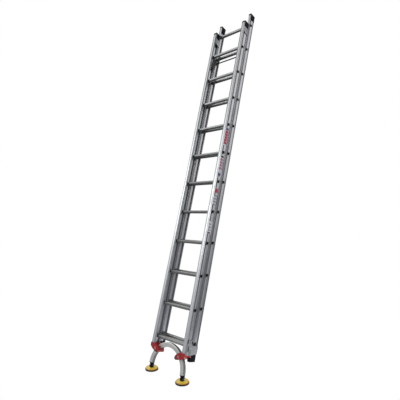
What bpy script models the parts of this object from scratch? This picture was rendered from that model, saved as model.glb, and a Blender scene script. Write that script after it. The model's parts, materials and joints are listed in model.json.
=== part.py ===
"""Two-section aluminium extension ladder with a self-levelling arc foot.

The ladder is modelled in its leaning use pose, closed. World axes: X across the ladder, +Y towards the wall,
+Z up, the floor at Z = 0. The world origin is on the floor under the middle of the ladder's reach, halfway
between the front of the feet and the top of the fly. Everything but the feet is built in the ladder's own
frame, which leans back by LEAN about X and has its origin at the centre of the levelling arc: x across,
y towards the wall, z up the stiles.
"""
import math

import bmesh
import bpy
from mathutils import Matrix, Vector

# Driving dimensions, in metres.
LEAN = math.radians(15.0)
ARC_CENTRE_HEIGHT = 0.062      # arc centre above the floor
FOOT_Y = -0.500                # the feet stand this far in front of the world origin
CLEARANCE = 0.0003             # gap between pieces that touch
WIDTH = 0.433                  # over the stiles
STILE_DEPTH = 0.070            # front to back of one section
SECTION_STEP = 0.075           # from the base section to the fly section behind it
RUNG_PITCH = 0.300
BASE_RUNGS = 11
FLY_RUNGS = 12
BASE_FIRST_RUNG = 0.240        # height of the lowest base rung up the ladder
FLY_LIFT = 0.018               # the fly rungs stand this much higher, so that each pair of treads is level
BASE_BOTTOM = 0.178
BASE_TOP = 3.533
FLY_BOTTOM = 0.146
FLY_TOP = 3.678

# Stile section, measured inwards from the outer edge of the flanges. A hollow rib runs along the web.
WEB_RECESS = 0.008
WEB_THICKNESS = 0.0022
RIB_HEIGHT = 0.0045            # how far the rib stands out of the web's outer face
RIB_DROP = 0.0035              # how far it stands out of the inner face
RIB_WALL = 0.0022
RIB_FRONT, RIB_BACK, RIB_SLOPE = -0.003, 0.019, 0.005
CHAMBER_BULGE = 0.002          # the hollow is this much wider at the web than at the rib's faces
FLANGE_WIDTH = 0.030
FLANGE_TIP = 0.0022            # thickness at the flange's free edge
FLANGE_EDGE = 0.0030           # at its outer edge
FLANGE_ROOT = 0.0042           # where it meets the web
LIP_WIDTH = 0.042              # the base section's front flange ends in a stepped lip
LIP_STEP = 0.0025
LIP_RETURN = 0.0085
OUTER = WIDTH / 2
HALF_DEPTH = STILE_DEPTH / 2
RIB_OUTER = OUTER - WEB_RECESS + RIB_HEIGHT
RIB_INNER = OUTER - WEB_RECESS - WEB_THICKNESS - RIB_DROP

# Plastic plugs and covers in the stile's two recesses.
PLUG_FRONT, PLUG_BACK = -0.0255, 0.0275
COVER_HALF = 0.0285
COVER_OUTER = OUTER - 0.0005
CAP_LID = 0.010
CAP_PLUG = 0.055               # how far a cap's plugs reach down the stile
CAP_ROUNDING = 0.0015

# Top guide, just under the base caps, and its hook behind the fly's front flange.
GUIDE_LOW, GUIDE_HIGH = 3.400, 3.4777
GUIDE_INNER = 0.1792
GUIDE_ARM_OUTER = 0.1860
GUIDE_ARM_FRONT = 0.0200
HOOK_INNER, HOOK_OUTER = 0.1800, 0.1990
HOOK_FRONT, HOOK_BACK = HALF_DEPTH + 0.0100, HALF_DEPTH + 0.0135

# Side plate over the foot of a base stile.
PLATE_OUTER = OUTER + 0.0033
PLATE_LOW, PLATE_HIGH = 0.1660, 0.2890
PLATE_SHOULDER = 0.2840
PLATE_ARM_LOW, PLATE_ARM_HIGH = 0.1760, 0.2420
PLATE_LIP_INNER = 0.1960
PLATE_LIP_FRONT, PLATE_LIP_BACK = SECTION_STEP + HALF_DEPTH + 0.0010, SECTION_STEP + HALF_DEPTH + 0.0045

# Rivets.
RIVET_RADIUS = 0.0028
RIVET_HOLE_RADIUS = 0.0031
RIVET_HEAD_RATIO = 1.8

# Rung section.
RUNG_WIDTH = 0.032
RUNG_TOP = 0.013
RUNG_BOTTOM = 0.015
RUNG_EDGE = 0.0025
RUNG_WALL = 0.002

# Levelling arc: a bent box tube that slides through the brackets at the foot of the base stiles.
ARC_RADIUS = 0.1985
ARC_BREADTH = 0.040            # across the tube, along the radius
ARC_DEPTH = 0.035              # front to back
ARC_WALL = 0.0025
ARC_END = math.radians(1.2)
ARC_STEPS = 26
ARC_SLIDE_GAP = 0.0006
BRACKET_FRONT, BRACKET_BACK = -0.043, 0.036
SPIGOT_LOW, SPIGOT_HIGH = 0.165, 0.215    # the bracket's spigot, inside the rib's hollow
CHANNEL_START, CHANNEL_END = math.radians(20), math.radians(76)
SHOE_START, SHOE_END = math.radians(37), math.radians(46)
SHOE_GAP = 0.0010
SHOE_THICKNESS = 0.0075
SHOE_HALF_DEPTH = 0.012

# Feet: each pad hangs on a knuckle with two crossed pins.
PITCH_AXIS_HEIGHT = 0.0485
ROLL_AXIS_HEIGHT = 0.0330
EYE_RADIUS = 0.008
LUG_NEAR, LUG_FAR = 0.0112, 0.0220
PIN_RADIUS = 0.0035
PIN_HEAD = 0.0016
PAD_SEAT = 0.0085              # underside of the pad above the floor
PAD_RADIUS = 0.056
PAD_HUB_RADIUS = 0.016         # the pad falls from its hub to the dish, then rises to a bead round its edge
PAD_DISH_RADIUS = 0.043
PAD_BEAD_RADIUS = 0.050
PAD_EDGE = 0.002
TREAD_RADIUS = 0.060
TREAD_RIM_HEIGHT = 0.0125
GROOVE_RADIUS = 0.038          # ring groove under the tread
GROOVE_HALF = 0.003
GROOVE_SLOPE = 0.0015
GROOVE_DEPTH = 0.003

# Rung lock: two arms joined by a bar, pivoted on the base stiles under the top base rung.
LOCK_PIVOT = (0.012, 3.100)
LOCK_BAR = (0.066, 3.196)
LOCK_ARM_NEAR, LOCK_ARM_FAR = 0.1690, 0.1735
LOCK_PIN_RADIUS = 0.0050
LOCK_PIN_HEAD_RADIUS = 0.0085
LOCK_PIN_INNER = 0.1650
LOCK_BAR_RADIUS = 0.0065
LOCK_BOSS_RADIUS = 0.014

# Fly boot.
BOOT_BOTTOM = 0.110
BOOT_PLUG_LOW, BOOT_PLUG_HIGH = 0.135, 0.185
BOOT_SHRINK = 0.0002           # the boot is this much inside the stile's outline

ROUND = 12                     # sides of a small round
OVERRUN = 0.010                # how far a cutter passes the faces it cuts

FINISHES = {
    "stile": ((0.70, 0.71, 0.73), 0.38, 0.85),
    "rung": ((0.58, 0.59, 0.60), 0.42, 0.85),
    "arc": ((0.76, 0.77, 0.78), 0.32, 0.85),
    "plate": ((0.60, 0.60, 0.62), 0.45, 0.80),
    "steel": ((0.45, 0.44, 0.42), 0.40, 0.90),
    "black": ((0.02, 0.02, 0.03), 0.55, 0.0),
    "red": ((0.35, 0.02, 0.02), 0.45, 0.0),
    "yellow": ((0.80, 0.50, 0.04), 0.45, 0.0),
    "rubber": ((0.03, 0.03, 0.03), 0.80, 0.0),
}


def clear_scene():
    for item in list(bpy.data.objects):
        bpy.data.objects.remove(item, do_unlink=True)


def frame(name, parent, location=(0.0, 0.0, 0.0), tilt=0.0):
    """An empty that carries pieces; its origin is where they turn or slide."""
    holder = bpy.data.objects.new(name, None)
    holder.empty_display_size = 0.05
    holder.location = location
    holder.rotation_euler.x = tilt
    holder.parent = parent
    PARTS.objects.link(holder)
    return holder


def piece(name, mesh, finish, parent, location=(0.0, 0.0, 0.0)):
    """One named sub-part with its own material."""
    colour, roughness, metallic = FINISHES[finish]
    paint = bpy.data.materials.new(name)
    paint.use_nodes = True
    shader = paint.node_tree.nodes["Principled BSDF"]
    shader.inputs["Base Color"].default_value = (*colour, 1.0)
    shader.inputs["Roughness"].default_value = roughness
    shader.inputs["Metallic"].default_value = metallic
    body = bpy.data.objects.new(name, mesh.copy())
    body.data.name = name
    body.data.materials.clear()
    body.data.materials.append(paint)
    body.location = location
    body.parent = parent
    PARTS.objects.link(body)
    return body


def soften(body, width, segments=1):
    """Rounds a piece's sharp edges."""
    bevel = body.modifiers.new("bevel", "BEVEL")
    bevel.width = width
    bevel.segments = segments
    bevel.limit_method = "ANGLE"
    bevel.angle_limit = math.radians(35)
    return body


def smooth(mesh):
    mesh.shade_smooth()
    mesh.set_sharp_from_angle(angle=math.radians(35))
    return mesh


def evaluated_mesh(holder):
    graph = bpy.context.evaluated_depsgraph_get()
    mesh = bpy.data.meshes.new_from_object(holder.evaluated_get(graph))
    bpy.data.objects.remove(holder, do_unlink=True)
    return mesh


def cleaned(mesh, matrix=None):
    """The mesh moved by matrix, with its loose caps welded and its faces turned out."""
    shape = bmesh.new()
    shape.from_mesh(mesh)
    bmesh.ops.remove_doubles(shape, verts=shape.verts, dist=0.00001)
    if matrix is not None:
        bmesh.ops.transform(shape, matrix=matrix, verts=shape.verts)
    bmesh.ops.recalc_face_normals(shape, faces=shape.faces)
    shape.to_mesh(mesh)
    shape.free()
    return mesh


def extruded(loops, low, high, axis):
    """Closed outlines drawn square to an axis, from low to high: (y, z) for X, (x, z) for Y, (x, y) for Z."""
    curve = bpy.data.curves.new("outline", "CURVE")
    curve.dimensions = "2D"
    curve.fill_mode = "BOTH"
    curve.extrude = (high - low) / 2
    for loop in loops:
        spline = curve.splines.new("POLY")
        spline.points.add(len(loop) - 1)
        for point, (across, up) in zip(spline.points, loop):
            point.co = (across, up, 0.0, 1.0)
        spline.use_cyclic_u = True
    holder = bpy.data.objects.new("outline", curve)
    bpy.context.scene.collection.objects.link(holder)
    columns = {"X": "YZX", "Y": "XZY", "Z": "XYZ"}[axis]
    turn = Matrix([[1.0 if column == row else 0.0 for column in columns] for row in "XYZ"]).to_4x4()
    middle = Matrix.Translation((0.0, 0.0, (low + high) / 2))
    return cleaned(evaluated_mesh(holder), turn @ middle)


def box(x, y, z):
    """A box between two values on each axis."""
    shape = bmesh.new()
    bmesh.ops.create_cube(shape, size=1.0)
    size = Vector((abs(x[1] - x[0]), abs(y[1] - y[0]), abs(z[1] - z[0])))
    centre = Vector((sum(x) / 2, sum(y) / 2, sum(z) / 2))
    bmesh.ops.scale(shape, vec=size, verts=shape.verts)
    bmesh.ops.translate(shape, vec=centre, verts=shape.verts)
    mesh = bpy.data.meshes.new("box")
    shape.to_mesh(mesh)
    shape.free()
    return mesh


def rod(start, end, radius, sides=ROUND):
    """A round bar between two points."""
    start, end = Vector(start), Vector(end)
    shape = bmesh.new()
    bmesh.ops.create_cone(shape, cap_ends=True, segments=sides, radius1=radius, radius2=radius,
                          depth=(end - start).length)
    turn = (end - start).to_track_quat("Z", "Y").to_matrix().to_4x4()
    bmesh.ops.transform(shape, matrix=Matrix.Translation((start + end) / 2) @ turn, verts=shape.verts)
    mesh = bpy.data.meshes.new("rod")
    shape.to_mesh(mesh)
    shape.free()
    return smooth(mesh)


def gathered(meshes):
    """Separate solids in one mesh."""
    shape = bmesh.new()
    for mesh in meshes:
        shape.from_mesh(mesh)
    result = bpy.data.meshes.new("group")
    shape.to_mesh(result)
    shape.free()
    return result


def boolean(body, tool, operation):
    """The body after one Boolean with the tool."""
    target = bpy.data.objects.new("body", body)
    other = bpy.data.objects.new("tool", tool)
    bpy.context.scene.collection.objects.link(target)
    bpy.context.scene.collection.objects.link(other)
    step = target.modifiers.new("boolean", "BOOLEAN")
    step.operation = operation
    step.object = other
    result = evaluated_mesh(target)
    bpy.data.objects.remove(other, do_unlink=True)
    return result


def fused(first, *others):
    for other in others:
        first = boolean(first, other, "UNION")
    return first


def cut(body, *tools):
    for tool in tools:
        body = boolean(body, tool, "DIFFERENCE")
    return body


def swept(outline, start, end, steps):
    """An outline of (radius, y) points swept round the arc's centre, between two angles above +X."""
    shape = bmesh.new()
    ring = [shape.verts.new((radius * math.cos(start), y, radius * math.sin(start))) for radius, y in outline]
    shape.faces.new(ring)
    bmesh.ops.spin(shape, geom=shape.verts[:] + shape.edges[:] + shape.faces[:], cent=(0, 0, 0),
                   axis=(0, -1, 0), angle=end - start, steps=steps)
    mesh = bpy.data.meshes.new("sweep")
    shape.to_mesh(mesh)
    shape.free()
    return cleaned(mesh)


def turned(profile, steps):
    """A profile of (radius, z) points, down the outer side from the axis to the axis, turned about Z."""
    mesh = bpy.data.meshes.new("profile")
    points = [(radius, 0.0, z) for radius, z in profile]
    mesh.from_pydata(points, [(i, i + 1) for i in range(len(points) - 1)], [])
    holder = bpy.data.objects.new("profile", mesh)
    bpy.context.scene.collection.objects.link(holder)
    screw = holder.modifiers.new("screw", "SCREW")
    screw.steps = steps
    screw.render_steps = steps
    screw.use_merge_vertices = True
    screw.merge_threshold = 0.00005
    return smooth(cleaned(evaluated_mesh(holder)))


def mirrored(points, side):
    """An outline given for the right-hand side, on the side asked for: +1 right, -1 left."""
    return [(side * across, up) for across, up in points]


def span(side, near, far):
    """Two x values on one side, in rising order."""
    return tuple(sorted((side * near, side * far)))


def rectangle(across, up):
    return [(across[0], up[0]), (across[1], up[0]), (across[1], up[1]), (across[0], up[1])]


# Stiles and rungs

def stile_outline(side, lip):
    """The stile's section in x and y: a ribbed web set in from the flanges' outer edges."""
    half = HALF_DEPTH
    web_in = WEB_RECESS + WEB_THICKNESS
    rib_out, rib_in = OUTER - RIB_OUTER, OUTER - RIB_INNER
    outer_side = [(0.0, -half), (0.0, -half + FLANGE_EDGE), (WEB_RECESS, -half + FLANGE_ROOT),
                  (WEB_RECESS, RIB_FRONT - RIB_SLOPE), (rib_out, RIB_FRONT), (rib_out, RIB_BACK),
                  (WEB_RECESS, RIB_BACK + RIB_SLOPE), (WEB_RECESS, half - FLANGE_ROOT),
                  (0.0, half - FLANGE_EDGE), (0.0, half)]
    back_flange = [(FLANGE_WIDTH, half), (FLANGE_WIDTH, half - FLANGE_TIP), (web_in, half - FLANGE_ROOT)]
    inner_side = [(web_in, RIB_BACK + RIB_SLOPE), (rib_in, RIB_BACK), (rib_in, RIB_FRONT),
                  (web_in, RIB_FRONT - RIB_SLOPE), (web_in, -half + FLANGE_ROOT)]
    if lip:
        bend = FLANGE_WIDTH + LIP_STEP
        inside = LIP_WIDTH - FLANGE_TIP
        front_flange = [(inside, -half + LIP_STEP + FLANGE_TIP), (inside, -half + LIP_RETURN),
                        (LIP_WIDTH, -half + LIP_RETURN), (LIP_WIDTH, -half + LIP_STEP),
                        (bend, -half + LIP_STEP), (bend, -half)]
    else:
        front_flange = [(FLANGE_WIDTH, -half + FLANGE_TIP), (FLANGE_WIDTH, -half)]
    points = outer_side + back_flange + inner_side + front_flange
    return mirrored([(OUTER - inwards, y) for inwards, y in points], side)


def chamber_outline(side):
    """The hollow inside the stile's rib."""
    near, far = OUTER - RIB_OUTER + RIB_WALL, OUTER - RIB_INNER - RIB_WALL
    middle = (near + far) / 2
    points = [(near, RIB_FRONT), (near, RIB_BACK), (middle, RIB_BACK + CHAMBER_BULGE),
              (far, RIB_BACK), (far, RIB_FRONT), (middle, RIB_FRONT - CHAMBER_BULGE)]
    return mirrored([(OUTER - inwards, y) for inwards, y in points], side)


def rung_outline(inset):
    """The rung's section in y and z: a flat tread that lies level in use, over a round underside."""
    half = RUNG_WIDTH / 2 - inset
    top = RUNG_TOP - inset
    tread = [(half, top - RUNG_EDGE), (half - RUNG_EDGE, top),
             (-half + RUNG_EDGE, top), (-half, top - RUNG_EDGE)]
    under = []
    for i in range(7):
        angle = math.pi + i * math.pi / 6
        under.append((half * math.cos(angle), (RUNG_BOTTOM - inset) * math.sin(angle)))
    cos, sin = math.cos(LEAN), math.sin(LEAN)
    return [(y * cos - z * sin, y * sin + z * cos) for y, z in tread + under]


def rung_heights(first, count):
    return [first + i * RUNG_PITCH for i in range(count)]


def rung_holes(heights):
    """A bar through both stiles for each rung."""
    bars = []
    for height in heights:
        bar = extruded([rung_outline(-CLEARANCE)], -OUTER - OVERRUN, OUTER + OVERRUN, "X")
        bar.transform(Matrix.Translation((0.0, 0.0, height)))
        bars.append(bar)
    return gathered(bars)


def stile(side, lip, bottom, top, heights):
    section = [stile_outline(side, lip), chamber_outline(side)]
    return cut(extruded(section, bottom, top, "Z"), rung_holes(heights))


def rung_mesh():
    end = RIB_OUTER - 0.0005
    return smooth(extruded([rung_outline(0.0), rung_outline(RUNG_WALL)], -end, end, "X"))


# Rivets: a domed head outside, a shank, and a flat formed head inside.

def rivet(side, outside, inside, y, z):
    head = RIVET_RADIUS * RIVET_HEAD_RATIO
    outer_head = rod((side * (outside + 0.0004), y, z), (side * (outside + 0.0026), y, z), head)
    shank = rod((side * (inside - 0.0014), y, z), (side * (outside + 0.0014), y, z), RIVET_RADIUS)
    inner_head = rod((side * (inside - 0.0022), y, z), (side * (inside - 0.0004), y, z), head)
    return fused(outer_head, shank, inner_head)


def rivet_hole(side, outside, inside, y, z):
    return rod((side * (inside - OVERRUN), y, z), (side * (outside + OVERRUN), y, z), RIVET_HOLE_RADIUS)


def riveted(fitting, side, places):
    """A fitting with the rivets that hold it, which pass through the stile."""
    return fused(fitting, *[rivet(side, *place) for place in places])


def rivet_holes(places):
    return gathered([rivet_hole(side, *place) for side in (-1, 1) for place in places])


# Each rivet: outer face, inner face, y and z of its axis.
PLATE_RIVETS = (
    [(PLATE_OUTER - 0.0008, RIB_INNER, y, 0.270) for y in (0.003, 0.016)]
    + [(PLATE_OUTER - 0.0008, RIB_INNER, 0.008, 0.200)]
)
GUIDE_RIVETS = [(COVER_OUTER - 0.0004, GUIDE_INNER + 0.0004, y, 3.448) for y in (-0.014, 0.016)]


# Base section fittings

def top_cap(side, inner_edge, top):
    """A plastic cap over a stile's end, with a plug in the recess on each side of the web."""
    plug = (top - CAP_PLUG, top + 0.004)
    lid = box(span(side, inner_edge, OUTER), (-HALF_DEPTH, HALF_DEPTH), (top + CLEARANCE, top + CAP_LID))
    outer_plug = box(span(side, RIB_OUTER + CLEARANCE, COVER_OUTER), (-COVER_HALF, COVER_HALF), plug)
    inner_plug = box(span(side, inner_edge + 0.0045, RIB_INNER - CLEARANCE), (PLUG_FRONT, PLUG_BACK), plug)
    return fused(lid, outer_plug, inner_plug)


def top_guide(side):
    """The bracket under the base cap: a plate on each side of the web, and a hook behind the fly's flange."""
    height = (GUIDE_LOW, GUIDE_HIGH)
    block = box(span(side, GUIDE_INNER, RIB_INNER - CLEARANCE), (PLUG_FRONT, PLUG_BACK), height)
    arm = box(span(side, GUIDE_INNER, GUIDE_ARM_OUTER), (GUIDE_ARM_FRONT, HOOK_BACK), height)
    hook = box(span(side, HOOK_INNER, HOOK_OUTER), (HOOK_FRONT, HOOK_BACK), height)
    cover = box(span(side, RIB_OUTER + CLEARANCE, COVER_OUTER), (-COVER_HALF, COVER_HALF), height)
    rivets = [rivet(side, *place) for place in GUIDE_RIVETS]
    return fused(block, arm, hook, *rivets, cover)


def side_plate(side):
    """The plate over the foot of a base stile; its rear arm wraps round the fly's rear flange as a guide."""
    arm = (PLATE_ARM_LOW, PLATE_ARM_HIGH)
    outline = [(-0.0320, PLATE_LOW), (-0.0320, PLATE_SHOULDER), (-0.0260, PLATE_HIGH), (0.0280, PLATE_HIGH),
               (0.0335, PLATE_SHOULDER), (0.0380, PLATE_ARM_HIGH + 0.002), (PLATE_LIP_BACK, PLATE_ARM_HIGH),
               (PLATE_LIP_BACK, PLATE_ARM_LOW), (0.0380, PLATE_LOW)]
    x_near, x_far = span(side, OUTER + CLEARANCE, PLATE_OUTER)
    plate = extruded([outline], x_near, x_far, "X")
    lip_x = span(side, PLATE_LIP_INNER, PLATE_OUTER)
    lip = box(lip_x, (PLATE_LIP_FRONT, PLATE_LIP_BACK), arm)
    return riveted(fused(plate, lip), side, PLATE_RIVETS)


def one_side_sweep(outline, side, start, end, steps):
    """A sweep given by its angles on the right-hand side, on the side asked for."""
    if side < 0:
        start, end = math.pi - end, math.pi - start
    return swept(outline, start, end, steps)


def slide_channel(side):
    """The way of the arc tube through a bracket."""
    breadth = ARC_BREADTH / 2 + ARC_SLIDE_GAP
    depth = ARC_DEPTH / 2 + ARC_SLIDE_GAP
    outline = rectangle((ARC_RADIUS - breadth, ARC_RADIUS + breadth), (-depth, depth))
    return one_side_sweep(outline, side, CHANNEL_START, CHANNEL_END, 10)


def brake_shoe(side, gap=0.0):
    """The block that grips the arc tube's outer face; with a gap, its pocket, open to the channel."""
    inner = ARC_RADIUS + ARC_BREADTH / 2 + SHOE_GAP
    outer = inner + SHOE_THICKNESS + gap
    if gap:
        inner = ARC_RADIUS
    start, end = SHOE_START - gap / ARC_RADIUS, SHOE_END + gap / ARC_RADIUS
    depth = SHOE_HALF_DEPTH + gap
    return one_side_sweep(rectangle((inner, outer), (-depth, depth)), side, start, end, 3)


def arc_bracket(side):
    """The moulded shoe at a base stile's foot: a spigot up the rib's hollow, and a curved way for the arc."""
    top = BASE_BOTTOM - CLEARANCE
    outline = [(OUTER, top), (OUTER, 0.151), (0.185, 0.127), (0.150, 0.113), (0.122, 0.109),
               (0.109, 0.115), (0.106, 0.128), (0.117, 0.147), (0.138, 0.165), (0.165, top)]
    shoe = extruded([mirrored(outline, side)], BRACKET_FRONT, BRACKET_BACK, "Y")
    spigot_x = span(side, RIB_INNER + RIB_WALL + CLEARANCE, RIB_OUTER - RIB_WALL - CLEARANCE)
    spigot_y = (RIB_FRONT + CLEARANCE, RIB_BACK - CLEARANCE)
    spigot = box(spigot_x, spigot_y, (SPIGOT_LOW, SPIGOT_HIGH))
    return cut(fused(shoe, spigot), slide_channel(side), brake_shoe(side, CLEARANCE))


# Rung lock

def lock_arm(side):
    """An arm that reaches from its pivot to a tongue under the fly's rung."""
    y, z = LOCK_PIVOT
    boss = []
    for i in range(8):
        angle = math.radians(150 + i * 30)
        boss.append((y + LOCK_BOSS_RADIUS * math.cos(angle), z + LOCK_BOSS_RADIUS * math.sin(angle)))
    tongue = [(0.044, 3.158), (0.062, 3.168), (0.086, 3.198), (0.086, 3.208), (0.040, 3.208), (0.028, 3.200)]
    near, far = span(side, LOCK_ARM_NEAR, LOCK_ARM_FAR)
    body = extruded([boss + tongue], near, far, "X")
    holes = [rod((near - OVERRUN, *centre), (far + OVERRUN, *centre), radius + CLEARANCE)
             for centre, radius in ((LOCK_PIVOT, LOCK_PIN_RADIUS), (LOCK_BAR, LOCK_BAR_RADIUS))]
    return cut(body, *holes)


def lock_bar():
    end = LOCK_ARM_FAR + 0.003
    return rod((-end, *LOCK_BAR), (end, *LOCK_BAR), LOCK_BAR_RADIUS)


def lock_pivot_pin(side):
    near, far = LOCK_ARM_NEAR - CLEARANCE, RIB_INNER - CLEARANCE
    shank = rod((side * (LOCK_PIN_INNER + 0.0005), *LOCK_PIVOT), (side * far, *LOCK_PIVOT), LOCK_PIN_RADIUS)
    head = rod((side * LOCK_PIN_INNER, *LOCK_PIVOT), (side * near, *LOCK_PIVOT), LOCK_PIN_HEAD_RADIUS)
    return fused(shank, head)


# Fly section fittings

def fly_boot(side):
    """A plastic foot under the fly stile, with a plug on each side of the web."""
    edge = OUTER - FLANGE_WIDTH
    depth = HALF_DEPTH - BOOT_SHRINK
    plug = (BOOT_PLUG_LOW, BOOT_PLUG_HIGH)
    foot = box(span(side, edge, OUTER - BOOT_SHRINK), (-depth, depth), (BOOT_BOTTOM, FLY_BOTTOM - CLEARANCE))
    outer_plug = box(span(side, RIB_OUTER + CLEARANCE, OUTER - 0.0008), (-COVER_HALF, COVER_HALF), plug)
    inner_plug = box(span(side, edge + 0.0030, RIB_INNER - CLEARANCE), (-PLUG_BACK, PLUG_BACK), plug)
    return fused(foot, outer_plug, inner_plug)


# Levelling arc

def arc_outline():
    """The tube's section in radius and y: rounded corners, and a front face in two steps."""
    inner, outer = ARC_RADIUS - ARC_BREADTH / 2, ARC_RADIUS + ARC_BREADTH / 2
    front, back = -ARC_DEPTH / 2, ARC_DEPTH / 2
    corner, step = 0.0045, 0.0018
    return [(inner, front + step + corner), (inner + corner * 0.3, front + step + corner * 0.3),
            (inner + corner, front + step), (ARC_RADIUS - 0.001, front + step), (ARC_RADIUS + 0.001, front),
            (outer - corner, front), (outer - corner * 0.3, front + corner * 0.3), (outer, front + corner),
            (outer, back - corner), (outer - corner * 0.3, back - corner * 0.3), (outer - corner, back),
            (inner + corner, back), (inner + corner * 0.3, back - corner * 0.3), (inner, back - corner)]


def level_arc():
    wall = ARC_WALL
    bore = rectangle((ARC_RADIUS - ARC_BREADTH / 2 + wall, ARC_RADIUS + ARC_BREADTH / 2 - wall),
                     (-ARC_DEPTH / 2 + 0.0018 + wall, ARC_DEPTH / 2 - wall))
    tube = swept(arc_outline(), ARC_END, math.pi - ARC_END, ARC_STEPS)
    return smooth(cut(tube, swept(bore, -ARC_END, math.pi + ARC_END, ARC_STEPS)))


def foot_frame_place(side):
    """Where a foot's pitch pin lies in the ladder's frame."""
    drop = PITCH_AXIS_HEIGHT - ARC_CENTRE_HEIGHT
    return (side * ARC_RADIUS, -drop * math.sin(LEAN), drop * math.cos(LEAN))


def eye_outline(centre, radius, shoulder_z, half_width):
    """A lug with a round end, in a plane whose second axis is up."""
    across, up = centre
    points = []
    for i in range(9):
        angle = math.pi + i * math.pi / 8
        points.append((across + radius * math.cos(angle), up + radius * math.sin(angle)))
    return points + [(across + half_width, shoulder_z), (across - half_width, shoulder_z)]


def arc_plug(side):
    """The plug in the arc tube's end: a flange, a spigot inside the tube, and two lugs for the pitch pin."""
    place = foot_frame_place(side)
    end = ARC_RADIUS * math.sin(ARC_END)
    half_x, half_y = ARC_BREADTH / 2 - 0.0008, ARC_DEPTH / 2 - 0.0008
    x = side * ARC_RADIUS
    flange_top = end - 0.0008
    flange = box((x - half_x, x + half_x), (-half_y, half_y), (end - 0.0038, flange_top))
    spigot = box((x - 0.0145, x + 0.0145), (-0.0120, 0.0135), (flange_top - 0.001, end + 0.022))
    body = fused(flange, spigot)
    lug = eye_outline(place[1:], EYE_RADIUS, end - 0.002, EYE_RADIUS)
    for direction in (-1, 1):
        near, far = sorted((x + direction * LUG_NEAR, x + direction * (ARC_BREADTH / 2 - 0.0008)))
        body = fused(body, extruded([lug], near, far, "X"))
    hole = rod((x - 0.03, *place[1:]), (x + 0.03, *place[1:]), PIN_RADIUS + CLEARANCE)
    return smooth(cut(body, hole))


def cross_pin(axis, half_length):
    """A headed pin through the origin, along X or Y."""
    direction = Vector((1, 0, 0)) if axis == "X" else Vector((0, 1, 0))
    shank = rod(-direction * half_length, direction * half_length, PIN_RADIUS)
    head = rod(direction * (half_length - 0.0004), direction * (half_length + PIN_HEAD), PIN_RADIUS * 1.6)
    return fused(shank, head)


def knuckle():
    """The cross piece between the two pins; its origin is on the pitch axis."""
    drop = ROLL_AXIS_HEIGHT - PITCH_AXIS_HEIGHT
    slab_low, slab_high = drop + 0.0079, -0.0030
    body = rod((-0.0106, 0, 0), (0.0106, 0, 0), EYE_RADIUS, 16)
    body = fused(body, box((-0.0098, 0.0098), (-LUG_FAR, LUG_FAR), (slab_low, slab_high)))
    for direction in (-1, 1):
        near, far = sorted((direction * LUG_NEAR, direction * LUG_FAR))
        lug = extruded([eye_outline((0.0, drop), EYE_RADIUS, slab_low + 0.001, EYE_RADIUS)], near, far, "Y")
        body = fused(body, lug)
    pitch_hole = rod((-0.03, 0, 0), (0.03, 0, 0), PIN_RADIUS + CLEARANCE)
    roll_hole = rod((0, -0.03, drop), (0, 0.03, drop), PIN_RADIUS + CLEARANCE)
    return smooth(cut(body, pitch_hole, roll_hole))


def foot_pad():
    """The round pad: a dished disc with a middle lug; its origin is on the roll axis."""
    floor = -ROLL_AXIS_HEIGHT
    seat = floor + PAD_SEAT
    profile = [(0.0, seat + 0.0155), (PAD_HUB_RADIUS, seat + 0.0145), (PAD_DISH_RADIUS, seat + 0.0100),
               (PAD_BEAD_RADIUS, seat + 0.0115), (PAD_RADIUS - PAD_EDGE, seat + 0.0115),
               (PAD_RADIUS, seat + 0.0115 - PAD_EDGE), (PAD_RADIUS, seat), (0.0, seat)]
    disc = turned(profile, 30)
    lug = extruded([[(x, -z) for x, z in eye_outline((0.0, 0.0), 0.0072, -seat - 0.012, 0.0072)]],
                   -LUG_NEAR + 0.0006, LUG_NEAR - 0.0006, "Y")
    hole = rod((0, -0.03, 0), (0, 0.03, 0), PIN_RADIUS + CLEARANCE)
    return smooth(cut(fused(disc, lug), hole))


def foot_tread():
    """The rubber tread under the pad, with a rim round it and a ring groove underneath."""
    floor = -ROLL_AXIS_HEIGHT
    top = floor + PAD_SEAT - CLEARANCE
    inside = PAD_RADIUS + CLEARANCE
    rim = floor + TREAD_RIM_HEIGHT
    groove_top = floor + GROOVE_DEPTH
    outer, inner = GROOVE_RADIUS + GROOVE_HALF, GROOVE_RADIUS - GROOVE_HALF
    profile = [(0.0, top), (inside, top), (inside, rim), (TREAD_RADIUS - PAD_EDGE, rim),
               (TREAD_RADIUS, rim - PAD_EDGE), (TREAD_RADIUS, floor), (outer, floor),
               (outer - GROOVE_SLOPE, groove_top), (inner + GROOVE_SLOPE, groove_top), (inner, floor),
               (0.0, floor)]
    return turned(profile, 30)


# Assembly

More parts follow.
